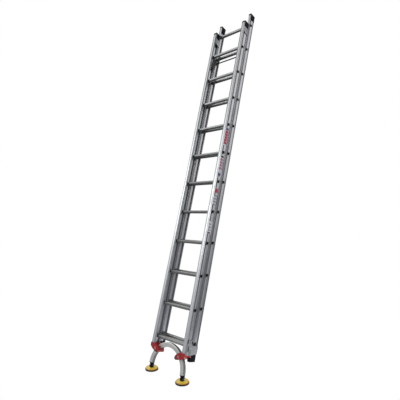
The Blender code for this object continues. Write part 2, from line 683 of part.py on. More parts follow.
def build():
    ladder = frame("ladder", None, (0.0, FOOT_Y, ARC_CENTRE_HEIGHT), -LEAN)
    fly = frame("fly_slide", ladder, (0.0, SECTION_STEP, 0.0))
    arc = frame("arc_pivot", ladder)
    lock = frame("lock_pivot", ladder, (0.0, *LOCK_PIVOT))

    base_heights = rung_heights(BASE_FIRST_RUNG, BASE_RUNGS)
    fly_heights = rung_heights(BASE_FIRST_RUNG + FLY_LIFT, FLY_RUNGS)
    plate_holes = rivet_holes(PLATE_RIVETS)
    base_holes = rivet_holes(PLATE_RIVETS + GUIDE_RIVETS)
    rung = rung_mesh()

    for number, height in enumerate(reversed(base_heights), 1):
        piece(f"base_rung_{number:02d}", rung, "rung", ladder, (0.0, 0.0, height))
    for number, height in enumerate(reversed(fly_heights), 1):
        piece(f"fly_rung_{number:02d}", rung, "rung", fly, (0.0, 0.0, height))

    for side, word in ((-1, "left"), (1, "right")):
        base_stile = stile(side, True, BASE_BOTTOM, BASE_TOP, base_heights)
        piece(f"base_stile_{word}", cut(base_stile, base_holes.copy()), "stile", ladder)
        piece(f"fly_stile_{word}", stile(side, False, FLY_BOTTOM, FLY_TOP, fly_heights), "stile", fly)
        base_cap = top_cap(side, OUTER - LIP_WIDTH, BASE_TOP)
        fly_cap = top_cap(side, OUTER - FLANGE_WIDTH, FLY_TOP)
        soften(piece(f"base_cap_{word}", base_cap, "black", ladder), CAP_ROUNDING)
        soften(piece(f"fly_cap_{word}", fly_cap, "black", fly), CAP_ROUNDING)
        piece(f"top_guide_{word}", top_guide(side), "plate", ladder)
        piece(f"side_plate_{word}", side_plate(side), "plate", ladder)
        piece(f"arc_bracket_{word}", cut(arc_bracket(side), plate_holes.copy()), "red", ladder)
        piece(f"brake_shoe_{word}", brake_shoe(side), "rubber", ladder)
        piece(f"fly_boot_{word}", fly_boot(side), "black", fly)

        arm = lock_arm(side)
        arm.transform(Matrix.Translation((0.0, -LOCK_PIVOT[0], -LOCK_PIVOT[1])))
        piece(f"lock_arm_{word}", arm, "steel", lock)
        piece(f"lock_pivot_pin_{word}", lock_pivot_pin(side), "steel", ladder)
        piece(f"arc_plug_{word}", arc_plug(side), "black", arc)
        pitch_pin = cross_pin("X", ARC_BREADTH / 2 - 0.0004)
        piece(f"pitch_pin_{word}", pitch_pin, "steel", arc, foot_frame_place(side))

        pitch = frame(f"foot_pitch_{word}", arc, foot_frame_place(side), LEAN)
        roll = frame(f"foot_roll_{word}", pitch, (0.0, 0.0, ROLL_AXIS_HEIGHT - PITCH_AXIS_HEIGHT))
        piece(f"knuckle_{word}", knuckle(), "black", pitch)
        piece(f"roll_pin_{word}", cross_pin("Y", LUG_FAR + 0.0004), "steel", pitch,
              (0.0, 0.0, ROLL_AXIS_HEIGHT - PITCH_AXIS_HEIGHT))
        piece(f"foot_pad_{word}", foot_pad(), "yellow", roll)
        piece(f"foot_tread_{word}", foot_tread(), "rubber", roll)

    bar = lock_bar()
    bar.transform(Matrix.Translation((0.0, -LOCK_PIVOT[0], -LOCK_PIVOT[1])))
    piece("lock_bar", bar, "steel", lock)
    piece("level_arc", level_arc(), "arc", arc)


clear_scene()
PARTS = bpy.data.collections.new("extension_ladder")
bpy.context.scene.collection.children.link(PARTS)
build()
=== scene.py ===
import json
import math

import bmesh
import bpy
from mathutils import Matrix, Vector


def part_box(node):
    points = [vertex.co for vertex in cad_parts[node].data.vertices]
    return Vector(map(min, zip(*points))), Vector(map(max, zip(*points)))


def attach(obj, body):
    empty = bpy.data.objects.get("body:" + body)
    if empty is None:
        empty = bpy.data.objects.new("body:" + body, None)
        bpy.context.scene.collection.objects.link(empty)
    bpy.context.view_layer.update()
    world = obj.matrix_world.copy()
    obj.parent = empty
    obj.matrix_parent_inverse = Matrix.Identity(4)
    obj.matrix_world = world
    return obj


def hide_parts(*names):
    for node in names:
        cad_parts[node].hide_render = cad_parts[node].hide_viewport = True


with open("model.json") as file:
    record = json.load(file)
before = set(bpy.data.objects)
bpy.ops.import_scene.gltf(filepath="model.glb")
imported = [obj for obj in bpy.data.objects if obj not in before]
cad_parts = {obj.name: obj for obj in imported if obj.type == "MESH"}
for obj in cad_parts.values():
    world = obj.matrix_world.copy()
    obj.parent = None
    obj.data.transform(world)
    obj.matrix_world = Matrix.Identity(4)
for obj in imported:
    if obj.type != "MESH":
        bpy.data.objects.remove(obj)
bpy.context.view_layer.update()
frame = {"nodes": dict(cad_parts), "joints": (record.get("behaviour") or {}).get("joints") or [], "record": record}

NODES = frame["nodes"]
JOINTS = {joint["name"]: joint for joint in frame["joints"]}
BODY_OF = {node: body for body, nodes in frame["record"]["behaviour"]["bodies"].items() for node in nodes}
SLOT_OF = {part["node"]: part["material_slot"] for part in frame["record"]["subparts"]}

ARC_CENTRE = Vector(JOINTS["arc_level"]["pos_m"])
UP = Vector(JOINTS["fly_slide"]["axis"])
BACK = Vector(JOINTS["arc_level"]["axis"])
LEAN = math.atan2(UP.y, UP.z)
LADDER = Matrix.Translation(ARC_CENTRE) @ Matrix((Vector((1, 0, 0)), BACK, UP)).transposed().to_4x4()


def ladder_box(node):
    """A CAD node's lowest and highest corners in the ladder's own frame."""
    to_ladder = LADDER.inverted()
    corners = [to_ladder @ corner.co for corner in NODES[node].data.vertices]
    return (Vector([min(corner[axis] for corner in corners) for axis in range(3)]),
            Vector([max(corner[axis] for corner in corners) for axis in range(3)]))


SIDES = ((-1, "left"), (1, "right"))
GAP = 0.0001                    # between a thin piece and the face that it lies on

# The stile's section, as the CAD pieces have it.
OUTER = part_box("base_stile_right")[1].x
WEB_OUTER = OUTER - 0.0080
WEB_INNER = OUTER - 0.0102
RIB_OUTER = OUTER - 0.0035
RIB_INNER = OUTER - 0.0137
RIB_FRONT, RIB_BACK = -0.003, 0.019
RIB_SLOPE = 0.005
HALF_DEPTH = 0.035
LIP_EDGE = OUTER - 0.0302
LIP_STEP = OUTER - 0.0350
SECTION_STEP = 0.075            # from the base's middle plane back to the fly's

ARC_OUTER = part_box("level_arc")[1].x
ARC_BREADTH = 0.040
FOOT_X = JOINTS["foot_roll_right"]["pos_m"][0]
PAD_EDGE_RADII = (0.049, 0.056)
PAD_BLACK_RADIUS = 0.019

# The rung's section.
RUNG_HALF = 0.016
RUNG_TOP = 0.013
RUNG_BOTTOM = 0.015
RUNG_EDGE = 0.0025
RUNG_WALL = 0.002
TREAD_RIBS = 7
TREAD_GROOVE = 0.0009
ROUND_STEPS = 12                # along the rung's round underside
INNER_COLLAR, OUTER_COLLAR = 0.0030, 0.0022
COLLAR_GAP = 0.0003

SPRING_RADIUS = 0.0078
SPRING_WIRE = 0.0020
SPRING_TURNS = 6
SPRING_STEPS = 14               # points in one turn
SPRING_ENDS = (0.1765, 0.1985)
SPRING_LEG = 0.045


# Shader graphs

class Graph:
    """A material's node tree, with short calls to add nodes."""

    def __init__(self, name):
        self.material = bpy.data.materials.new(name)
        self.material.use_nodes = True
        self.tree = self.material.node_tree
        self.shader = self.tree.nodes["Principled BSDF"]

    def add(self, kind, settings=None, **inputs):
        node = self.tree.nodes.new(kind)
        for key, value in (settings or {}).items():
            setattr(node, key, value)
        for key, value in inputs.items():
            self.feed(node.inputs[key.replace("_", " ")], value)
        return node

    def feed(self, socket, value):
        if isinstance(value, bpy.types.NodeSocket):
            self.tree.links.new(value, socket)
        else:
            socket.default_value = value

    def math(self, operation, first, second=0.0, clamp=False):
        node = self.add("ShaderNodeMath", {"operation": operation, "use_clamp": clamp})
        self.feed(node.inputs[0], first)
        self.feed(node.inputs[1], second)
        return node.outputs[0]

    def stretched(self, scale, turn=0.0):
        """The piece's own coordinates, turned about X so that Z runs up the stiles, then scaled."""
        place = self.add("ShaderNodeTexCoord").outputs["Object"]
        turned = self.add("ShaderNodeMapping", Vector=place, Rotation=(turn, 0.0, 0.0)).outputs[0]
        return self.add("ShaderNodeMapping", Vector=turned, Scale=scale).outputs[0]

    def across(self):
        """How far a point is from the ladder's middle plane."""
        place = self.add("ShaderNodeTexCoord").outputs["Object"]
        return self.math("ABSOLUTE", self.add("ShaderNodeSeparateXYZ", Vector=place).outputs[0])

    def offset(self, direction):
        """How far a point is from the arc's centre along a direction."""
        place = self.add("ShaderNodeTexCoord").outputs["Object"]
        along = self.add("ShaderNodeVectorMath", {"operation": "DOT_PRODUCT"})
        self.feed(along.inputs[0], place)
        self.feed(along.inputs[1], tuple(direction))
        return self.math("SUBTRACT", along.outputs["Value"], ARC_CENTRE.dot(direction))

    def noise(self, scale, detail=2.0, turn=0.0, roughness=0.5):
        where = self.stretched(scale, turn)
        node = self.add("ShaderNodeTexNoise", Vector=where, Scale=1.0, Detail=detail, Roughness=roughness)
        return node.outputs[0]

    def ranged(self, value, low, high, start=0.3, end=0.7):
        """A value between start and end spread over low to high."""
        node = self.add("ShaderNodeMapRange", Value=value)
        for key, number in (("From Min", start), ("From Max", end), ("To Min", low), ("To Max", high)):
            node.inputs[key].default_value = number
        return node.outputs[0]

    def mixed(self, factor, first, second):
        node = self.add("ShaderNodeMix", {"data_type": "RGBA"})
        self.feed(node.inputs[0], factor)
        self.feed(node.inputs[6], first)
        self.feed(node.inputs[7], second)
        return node.outputs[2]

    def edges(self, radius):
        """Rounded normals, and a mask that is 1 on the edges."""
        soft = self.add("ShaderNodeBevel", {"samples": 4}, Radius=radius).outputs[0]
        flat = self.add("ShaderNodeNewGeometry").outputs["Normal"]
        likeness = self.add("ShaderNodeVectorMath", {"operation": "DOT_PRODUCT"})
        self.feed(likeness.inputs[0], soft)
        self.feed(likeness.inputs[1], flat)
        return soft, self.ranged(likeness.outputs["Value"], 1.0, 0.0, 0.80, 0.99)

    def root_of_squares(self, first, second):
        squares = self.math("ADD", self.math("MULTIPLY", first, first), self.math("MULTIPLY", second, second))
        return self.math("SQRT", squares)

    def finish(self, colour, roughness, normal):
        for socket, value in (("Base Color", colour), ("Roughness", roughness), ("Normal", normal)):
            self.feed(self.shader.inputs[socket], value)
        return self.material

    def shelter(self, distance):
        """1 in the open, 0 deep in a corner or a hollow."""
        return self.add("ShaderNodeAmbientOcclusion", {"samples": 4}, Distance=distance).outputs["AO"]

    def bump(self, height, strength, distance, normal):
        node = self.add("ShaderNodeBump", Strength=strength, Distance=distance, Height=height, Normal=normal)
        return node.outputs[0]


def shade(colour, factor):
    return (*(min(1.0, channel * factor) for channel in colour), 1.0)


# Dirt and painted shade in the metal's corners and hollows.
DIRT_AND_SHADE = (0.020, 0.020, 0.022, 1.0)
# Painted shade on the stiles' lip, and a painted shadow line at the lip's step.
LIP_SHADE = (0.24, 0.29, 0.275, 1.0)
LIP_SHADOW_LINE = (0.045, 0.066, 0.060, 1.0)
LOW_END = (0.4, 1.5)            # heights up the stiles between which their low end grows darker
LOW_TINT = (0.70, 0.71, 0.745)
# Painted shade on the red pieces' low ends.
RED_SHADE = (0.030, 0.006, 0.006, 1.0)
RUBBER_DUST = (0.10, 0.095, 0.09, 1.0)


def stile_painted_shade(graph, tint, colour, fine, middle):
    """Painted shade on a stile: darker in the lanes inside, the front lane outside, and on the lip."""
    x, depth = graph.across(), graph.offset(BACK)
    outside = graph.ranged(x, 0.0, 1.0, WEB_INNER + 0.0004, WEB_OUTER - 0.0004)
    front = graph.ranged(depth, 1.0, 0.0, middle + RIB_FRONT - RIB_SLOPE, middle + RIB_FRONT + 0.001)
    outer_lane = graph.math("MULTIPLY", graph.ranged(x, 1.0, 0.0, WEB_OUTER + 0.0006, RIB_OUTER - 0.0006),
                            graph.math("MULTIPLY", outside, front))
    inner_lane = graph.math("MULTIPLY", graph.ranged(x, 0.0, 1.0, RIB_INNER + 0.0004, WEB_INNER - 0.0004),
                            graph.math("SUBTRACT", 1.0, outside))
    shaded_lanes = graph.math("ADD", outer_lane, inner_lane, True)
    streaked_shade = graph.mixed(graph.ranged(fine, 0.0, 1.0), shade(colour, 0.20), shade(colour, 0.29))
    tint = graph.mixed(shaded_lanes, tint, streaked_shade)
    # The lip in painted shade, with a painted shadow line at its step.
    lip = graph.ranged(x, 1.0, 0.0, LIP_EDGE - 0.0012, LIP_EDGE)
    step = graph.ranged(x, 0.0, 1.0, LIP_STEP - 0.0008, LIP_STEP)
    tint = graph.mixed(lip, tint, graph.mixed(step, LIP_SHADE, LIP_SHADOW_LINE))
    low = graph.ranged(graph.offset(UP), 0.75, 0.0, *LOW_END)
    return graph.mixed(low, tint, (*(channel * part for channel, part in zip(colour, LOW_TINT)), 1.0))


def tube_painted_shade(graph, tint, colour, inner, outer):
    """Painted shade on the arc tube: darker on its faces at the inner and the outer radius."""
    radius = graph.root_of_squares(graph.across(), graph.offset(UP))
    outside = graph.ranged(radius, 0.0, 1.0, outer - 0.0022, outer - 0.0004)
    inside = graph.ranged(radius, 1.0, 0.0, inner + 0.0004, inner + 0.0022)
    return graph.mixed(inside, graph.mixed(outside, tint, shade(colour, 0.34)), shade(colour, 0.22))


def metal(name, colour, roughness, lines, turn=0.0, grime_and_shade=0.55, middle=None, ring=None):
    """A drawn or extruded metal: lines gives the texture's scale on each axis, least along the drawing.

    A stile gives the depth of its middle plane, and the arc tube its inner and outer radius.
    """
    graph = Graph(name)
    fine = graph.noise(lines, 3.0, turn)
    coarse = graph.noise(tuple(value * 0.12 for value in lines), 2.0, turn)
    blotches = graph.noise((9.0, 9.0, 9.0), 5.0, 0.0, 0.65)
    tint = graph.mixed(graph.ranged(coarse, 0.0, 1.0), shade(colour, 0.90), shade(colour, 1.06))
    tint = graph.mixed(graph.ranged(fine, 0.0, 0.4), tint, shade(colour, 0.78))
    tint = graph.mixed(graph.ranged(blotches, 0.0, 0.35), tint, shade(colour, 0.78))
    if middle is not None:
        tint = stile_painted_shade(graph, tint, colour, fine, middle)
    if ring is not None:
        tint = tube_painted_shade(graph, tint, colour, *ring)
    soft, edge_mask = graph.edges(0.0007)
    tint = graph.mixed(graph.math("MULTIPLY", edge_mask, 0.6), tint, shade(colour, 1.25))
    # Dirt and painted shade: darker where the ambient occlusion finds corners and hollows.
    open_air = graph.ranged(graph.shelter(0.020), 0.0, 1.0, 0.25, 0.85)
    dirt_and_shade = graph.math("MULTIPLY", graph.math("SUBTRACT", 1.0, open_air), grime_and_shade, True)
    tint = graph.mixed(dirt_and_shade, tint, DIRT_AND_SHADE)
    graph.shader.inputs["Metallic"].default_value = 0.9
    rough = graph.math("ADD", graph.ranged(fine, -0.07, 0.10),
                       graph.ranged(blotches, roughness - 0.04, roughness + 0.08))
    return graph.finish(tint, rough, graph.bump(fine, 0.25, 0.00012, soft))


def plastic(name, colour, warm, roughness, worn=1.6, gloss=0.5, foot=None):
    """Moulded plastic: fine grain, two close hues, paler edges and painted shade in the corners.

    A foot is the two heights along the stiles between which painted shade darkens the piece from below.
    """
    graph = Graph(name)
    graph.shader.inputs["Specular IOR Level"].default_value = gloss
    spark = graph.noise((900.0,) * 3, 2.0)
    patches = graph.noise((26.0,) * 3, 4.0, 0.0, 0.6)
    tint = graph.mixed(graph.ranged(patches, 0.0, 1.0), shade(colour, 1.0), shade(warm, 1.0))
    soft, edge_mask = graph.edges(0.0009)
    tint = graph.mixed(graph.math("MULTIPLY", edge_mask, 0.5), tint, shade(colour, worn))
    # Painted shade: darker in corners that the ambient occlusion finds.
    dust_and_corner_shade = graph.math("SUBTRACT", 1.0, graph.ranged(graph.shelter(0.012), 0.35, 1.0, 0.2, 0.9))
    tint = graph.mixed(dust_and_corner_shade, tint, shade(colour, 0.45))
    if foot is not None:
        # Painted shade from below.
        tint = graph.mixed(graph.ranged(graph.offset(UP), 0.92, 0.0, *foot), tint, RED_SHADE)
    rough = graph.ranged(spark, roughness - 0.06, roughness + 0.10)
    return graph.finish(tint, rough, graph.bump(spark, 0.20, 0.00015, soft))


def rubber(name, colour, roughness):
    graph = Graph(name)
    grain = graph.noise((700.0,) * 3, 3.0)
    dust_and_corner_shade = graph.noise((30.0,) * 3, 5.0, 0.0, 0.7)
    soft, edge_mask = graph.edges(0.0010)
    tint = graph.mixed(graph.ranged(dust_and_corner_shade, 0.0, 0.6, 0.45, 0.75), shade(colour, 1.0), RUBBER_DUST)
    tint = graph.mixed(graph.math("MULTIPLY", edge_mask, 0.4), tint, shade(colour, 2.4))
    rough = graph.ranged(dust_and_corner_shade, roughness - 0.08, roughness + 0.08)
    return graph.finish(tint, rough, graph.bump(grain, 0.35, 0.00025, soft))


def pad_yellow():
    """The pads' yellow, orange towards the edge and black round the joint in the middle."""
    graph = Graph("pad_yellow")
    place = graph.add("ShaderNodeTexCoord").outputs["Object"]
    parts = graph.add("ShaderNodeSeparateXYZ", Vector=place)
    from_foot = graph.math("SUBTRACT", graph.math("ABSOLUTE", parts.outputs[0]), FOOT_X)
    radius = graph.root_of_squares(from_foot, graph.math("SUBTRACT", parts.outputs[1], ARC_CENTRE.y))
    mottle = graph.noise((60.0, 60.0, 60.0), 4.0, 0.0, 0.6)
    tint = graph.mixed(graph.ranged(mottle, 0.0, 0.5), (0.94, 0.70, 0.075, 1.0), (0.80, 0.58, 0.045, 1.0))
    tint = graph.mixed(graph.ranged(radius, 0.0, 0.80, *PAD_EDGE_RADII), tint, (0.62, 0.22, 0.012, 1.0))
    middle = graph.ranged(radius, 1.0, 0.0, PAD_BLACK_RADIUS, PAD_BLACK_RADIUS + 0.001)
    tint = graph.mixed(middle, tint, (0.008, 0.008, 0.010, 1.0))
    grain = graph.noise((900.0, 900.0, 900.0), 2.0)
    soft, edge_mask = graph.edges(0.0009)
    tint = graph.mixed(graph.math("MULTIPLY", edge_mask, 0.25), tint, (0.90, 0.72, 0.25, 1.0))
    return graph.finish(tint, graph.ranged(grain, 0.28, 0.42), graph.bump(grain, 0.2, 0.00015, soft))


STILE_COLOUR = (0.72, 0.725, 0.755)
ALONG = (420.0, 420.0, 2.2)
ACROSS = (2.2, 420.0, 420.0)
FINISH = {
    "stile": metal("stile_aluminium", STILE_COLOUR, 0.34, ALONG, LEAN, middle=0.0),
    "rung": metal("rung_aluminium", (0.40, 0.41, 0.405), 0.40, ACROSS, grime_and_shade=0.95),
    "arc_tube": metal("arc_aluminium", (0.64, 0.655, 0.65), 0.30, (160.0, 300.0, 160.0), LEAN,
                      ring=(ARC_OUTER - ARC_BREADTH, ARC_OUTER)),
    "guide_plate": metal("plate_aluminium", (0.45, 0.455, 0.485), 0.38, (300.0, 60.0, 60.0), LEAN),
    "steel": metal("zinc_steel", (0.105, 0.098, 0.085), 0.42, (350.0, 350.0, 350.0)),
    "black_plastic": plastic("black_plastic", (0.003, 0.003, 0.007), (0.004, 0.004, 0.016), 0.60, worn=2.5,
                             gloss=0.12),
    "red_plastic": plastic("red_plastic", (0.44, 0.010, 0.012), (0.29, 0.006, 0.008), 0.26,
                           foot=(0.113, 0.124)),
    "yellow_plastic": pad_yellow(),
    "rubber": rubber("tread_rubber", (0.012, 0.011, 0.011), 0.80),
}
DARK_STEEL = metal("blackened_steel", (0.030, 0.030, 0.033), 0.45, (300.0, 300.0, 300.0))
FLY_STILE = metal("fly_stile_aluminium", STILE_COLOUR, 0.34, ALONG, LEAN, middle=SECTION_STEP)
# A flat black that paints the shade in the rungs' bores, the guides' grooves and the plates' slots and window.
HOLLOW_SHADE = plastic("painted_hollow_shade", (0.004, 0.004, 0.004), (0.006, 0.006, 0.006), 0.90, gloss=0.1)
STICKER_WHITE = plastic("sticker_white", (0.86, 0.86, 0.94), (0.78, 0.79, 0.88), 0.40)
STICKER_RED = plastic("sticker_red", (0.68, 0.060, 0.115), (0.58, 0.045, 0.085), 0.40)
STICKER_BLUE = plastic("sticker_blue", (0.14, 0.12, 0.30), (0.10, 0.09, 0.24), 0.40)
STICKER_GREY = plastic("sticker_grey", (0.46, 0.47, 0.50), (0.38, 0.39, 0.41), 0.45)
STICKER_PINK = plastic("sticker_pink", (0.66, 0.24, 0.32), (0.58, 0.28, 0.36), 0.40)
STICKER_LILAC = plastic("sticker_lilac", (0.40, 0.36, 0.50), (0.34, 0.32, 0.44), 0.40)
STICKER_BLACK = plastic("sticker_black", (0.03, 0.03, 0.035), (0.05, 0.05, 0.055), 0.45)
STICKER_DARK_RED = plastic("sticker_dark_red", (0.16, 0.05, 0.07), (0.12, 0.05, 0.06), 0.45)
STUD = metal("stud_zinc", (0.80, 0.81, 0.80), 0.30, (300.0, 300.0, 300.0))
# A paler red that paints a glint on two of the bracket ribs.
RIB_GLINT = plastic("rib_painted_glint", (0.78, 0.40, 0.36), (0.66, 0.28, 0.25), 0.30)
LATCH_PAD = plastic("latch_pad", (0.24, 0.32, 0.32), (0.16, 0.22, 0.225), 0.45)


OWN_FINISH = {"fly_stile_left": FLY_STILE, "fly_stile_right": FLY_STILE, "lock_bar": DARK_STEEL}


def finish_cad_nodes():
    for node, obj in NODES.items():
        obj.data.materials.clear()
        obj.data.materials.append(OWN_FINISH.get(node, FINISH[SLOT_OF[node]]))


# Mesh helpers

def outline_faces(shape, loops, place):
    """Closed outlines as a face with holes, each point put in space by place."""
    edges = []
    for loop in loops:
        ring = [shape.verts.new(place(across, up)) for across, up in loop]
        edges += [shape.edges.new((ring[i - 1], ring[i])) for i in range(len(ring))]
    bmesh.ops.triangle_fill(shape, use_beauty=True, edges=edges)


def prism(loops, low, high, axis="X"):
    """Closed outlines drawn square to an axis, (y, z) for X and (x, y) for Z, from low to high."""
    along = axis == "X"
    shape = bmesh.new()
    outline_faces(shape, loops, lambda a, b: (low, a, b) if along else (a, b, low))
    moved = bmesh.ops.extrude_face_region(shape, geom=shape.faces[:])["geom"]
    corners = [item for item in moved if isinstance(item, bmesh.types.BMVert)]
    way = Vector((1, 0, 0)) if along else Vector((0, 0, 1))
    bmesh.ops.translate(shape, verts=corners, vec=way * (high - low))
    bmesh.ops.recalc_face_normals(shape, faces=shape.faces)
    return shape


def block(x, y, z):
    """A box from its range on each axis."""
    shape = bmesh.new()
    bmesh.ops.create_cube(shape, size=1.0)
    size = Vector((x[1] - x[0], y[1] - y[0], z[1] - z[0]))
    bmesh.ops.scale(shape, vec=size, verts=shape.verts)
    bmesh.ops.translate(shape, vec=Vector((sum(x), sum(y), sum(z))) / 2, verts=shape.verts)
    return shape


def joined(shapes):
    """Several shapes as one, each still a closed body."""
    whole = bmesh.new()
    for shape in shapes:
        mesh = bpy.data.meshes.new("part")
        shape.to_mesh(mesh)
        whole.from_mesh(mesh)
        shape.free()
        bpy.data.meshes.remove(mesh)
    return whole


def piece(name, shape, slot, body, matrix=LADDER, material=None, rounding=0.0):
    """A shown piece, drawn in the ladder's frame unless a matrix says otherwise, riding on a CAD body."""
    mesh = bpy.data.meshes.new(name)
    shape.transform(matrix)
    shape.to_mesh(mesh)
    shape.free()
    mesh.shade_smooth()
    mesh.set_sharp_from_angle(angle=math.radians(35))
    mesh.materials.append(material or FINISH[slot])
    obj = bpy.data.objects.new(name, mesh)
    bpy.context.scene.collection.objects.link(obj)
    if rounding:
        bevel = obj.modifiers.new("rounding", "BEVEL")
        bevel.width = rounding
        bevel.segments = 2
        bevel.angle_limit = math.radians(40)
    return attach(obj, body)


def span(side, near, far):
    """A range of x on one side of the ladder, lowest first."""
    return tuple(sorted((side * near, side * far)))


# Rungs

def rung_outline(inset, ribs=0):
    """The rung's section in y and z, level in use, with grooves along its tread."""
    half, top = RUNG_HALF - inset, RUNG_TOP - inset
    flat = half - RUNG_EDGE
    points = [(half, top - RUNG_EDGE), (flat, top)]
    pitch = 2 * flat / max(ribs, 1)
    for i in range(ribs - 1):
        groove = flat - (i + 1) * pitch
        points += [(groove + pitch * 0.28, top), (groove + pitch * 0.16, top - TREAD_GROOVE),
                   (groove - pitch * 0.16, top - TREAD_GROOVE), (groove - pitch * 0.28, top)]
    points += [(-flat, top), (-half, top - RUNG_EDGE)]
    for i in range(ROUND_STEPS + 1):
        angle = math.pi * (1 + i / ROUND_STEPS)
        points.append((half * math.cos(angle), (RUNG_BOTTOM - inset) * math.sin(angle)))
    return points


def make_rungs():
    """Each rung with its ribbed tread, and the collars swaged up against both sides of the stile's web.

    A short black piece stops each end of the bore and paints the shade inside it.
    """
    tube = [rung_outline(0.0, TREAD_RIBS), rung_outline(RUNG_WALL)]
    inner_collar = [rung_outline(-INNER_COLLAR), rung_outline(COLLAR_GAP)]
    outer_collar = [rung_outline(-OUTER_COLLAR), rung_outline(COLLAR_GAP)]
    bore = [rung_outline(RUNG_WALL + GAP)]
    for node, body in BODY_OF.items():
        if "_rung_" not in node:
            continue
        low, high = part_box(node)
        centre = Matrix.Translation((0.0, (low.y + high.y) / 2, high.z - RUNG_TOP))
        shapes = [prism(tube, low.x, high.x)]
        for side, word in SIDES:
            bore_shade = prism(bore, *span(side, RIB_INNER - 0.004, RIB_INNER))
            piece(f"{node}_lining_{word}", bore_shade, "rung", body, centre, HOLLOW_SHADE)
            shapes.append(prism(inner_collar, *span(side, RIB_INNER - 0.0020, WEB_INNER)))
            shapes.append(prism(outer_collar, *span(side, WEB_OUTER, RIB_OUTER + 0.0006)))
        rung = piece(f"{node}_ribbed", joined(shapes), "rung", body, centre)
        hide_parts(node)


# Labels and trim. Heights are up the stile, depths from its middle plane towards the wall.

def web_skin(low_y, high_y, lift, thickness):
    """A strip's section in x and y that follows the outer face of the right stile's web, lifted off it."""
    corners = [(WEB_OUTER, -HALF_DEPTH), (WEB_OUTER, RIB_FRONT - RIB_SLOPE), (RIB_OUTER, RIB_FRONT),
               (RIB_OUTER, RIB_BACK), (WEB_OUTER, RIB_BACK + RIB_SLOPE), (WEB_OUTER, HALF_DEPTH)]

    def web_x(y):
        for (x0, y0), (x1, y1) in zip(corners, corners[1:]):
            if y <= y1:
                return x0 + (x1 - x0) * (y - y0) / (y1 - y0)
        return corners[-1][0]

    depths = [low_y] + [y for x, y in corners if low_y < y < high_y] + [high_y]
    under = [(web_x(y) + lift, y) for y in depths]
    over = [(web_x(y) + lift + thickness, y) for y in reversed(depths)]
    return [under + over]


def sticker(name, depths, heights, material, lift=GAP):
    """A thin film over the web of the base's right stile."""
    shape = prism(web_skin(*depths, lift, FILM), *heights, axis="Z")
    return piece(name, shape, "stile", "base", LADDER, material)


def ink(name, depths, heights, material):
    """A colour block printed on a label."""
    return sticker(name, depths, heights, material, INK_LIFT)


def ink_column(name, depths, first, pitch, height, count, material):
    """Equal colour blocks one above another, from the height of the first."""
    for i in range(count):
        low = first + pitch * i
        ink(f"{name}_{i + 1}", depths, (low, low + height), material)


FILM = 0.0003
INK_LIFT = 0.0005
LABEL_DEPTHS = (-0.0300, 0.0300)


def make_labels():
    """Stickers over the web of the base's right stile, with plain colour blocks and no lettering."""
    sticker("label_a", LABEL_DEPTHS, (2.112, 2.300), STICKER_WHITE)
    ink("label_a_head", (-0.0290, 0.0150), (2.274, 2.298), STICKER_BLUE)
    ink_column("label_a_red", (-0.0285, 0.0135), 2.128, 0.0288, 0.0245, 5, STICKER_RED)
    ink_column("label_a_side", (0.0165, 0.0255), 2.130, 0.0288, 0.0190, 5, STICKER_LILAC)
    sticker("label_b", LABEL_DEPTHS, (1.785, 2.012), STICKER_WHITE)
    ink("label_b_head", (-0.0290, 0.0140), (1.984, 2.002), STICKER_BLACK)
    ink_column("label_b_red", (-0.0290, 0.0040), 1.862, 0.0300, 0.0220, 4, STICKER_PINK)
    ink_column("label_b_side", (0.0070, 0.0220), 1.862, 0.0300, 0.0220, 4, STICKER_LILAC)
    ink("label_b_foot", (-0.0285, 0.0100), (1.794, 1.824), STICKER_BLUE)
    sticker("label_c", (-0.0280, 0.0160), (1.626, 1.668), STICKER_RED)
    sticker("label_d", LABEL_DEPTHS, (1.506, 1.604), STICKER_GREY)
    ink_column("label_d_bar", (-0.0220, 0.0180), 1.518, 0.028, 0.013, 3, STICKER_WHITE)
    sticker("label_e", LABEL_DEPTHS, (1.228, 1.348), STICKER_WHITE)
    ink("label_e_foot", (-0.0280, 0.0100), (1.232, 1.244), STICKER_DARK_RED)
    ink_column("label_e_bar", (-0.0200, 0.0120), 1.258, 0.028, 0.011, 3, STICKER_GREY)


def bolt_head(side, near, far, y, z, radius):
    """A round head across the ladder, from near to far on one side of it."""
    shape = bmesh.new()
    bmesh.ops.create_cone(shape, cap_ends=True, segments=16, radius1=radius, radius2=radius, depth=far - near)
    middle = Matrix.Translation((side * (near + far) / 2, y, z))
    bmesh.ops.transform(shape, matrix=middle @ Matrix.Rotation(math.pi / 2, 4, "Y"), verts=shape.verts)
    return shape


GUIDE_LOW, GUIDE_HIGH = (corner.z for corner in ladder_box("top_guide_right"))
GUIDE_INNER, GUIDE_ARM, GUIDE_HOOK_END = 0.1792, 0.1860, 0.1990
GUIDE_HOOK_Y = (HALF_DEPTH + 0.0100, HALF_DEPTH + 0.0135)
GUIDE_ARM_Y = 0.0276
GUIDE_BOLT_DEPTHS = (-0.014, 0.016)
GUIDE_BOLT_HEIGHT = GUIDE_LOW + 0.048
GUIDE_BOLT_RADIUS = 0.0050
CHEVRON_LIP = 0.0060
CHEVRON_CUT = 0.0014
CHEVRON_SKIN = 0.0010
CHEVRON_FLOOR = 0.0004
CHEVRON_BACKING = 0.034         # from the guide's lower end up to its thick part


def chevron(side, edge, near, face):
    """A guide's plate from near to its shown face, and a black floor in the groove above its lower edge that
    paints its shade.
    """
    top = [(edge[2][0], GUIDE_HIGH), (edge[0][0], GUIDE_HIGH)]
    groove = face + math.copysign(CHEVRON_CUT, near - face)
    inner_skin = groove + math.copysign(CHEVRON_SKIN, near - groove)
    floor = groove + math.copysign(CHEVRON_FLOOR, face - groove)
    lip = [(y, z + CHEVRON_LIP) for y, z in edge]
    shapes = [prism([lip + top], *span(side, groove, face)),
              prism([edge + top], *span(side, inner_skin, groove)),
              block(span(side, near, inner_skin), (edge[0][0], edge[2][0]),
                    (GUIDE_LOW + CHEVRON_BACKING, GUIDE_HIGH))]
    return shapes, prism([edge + lip[::-1]], *span(side, groove, floor))


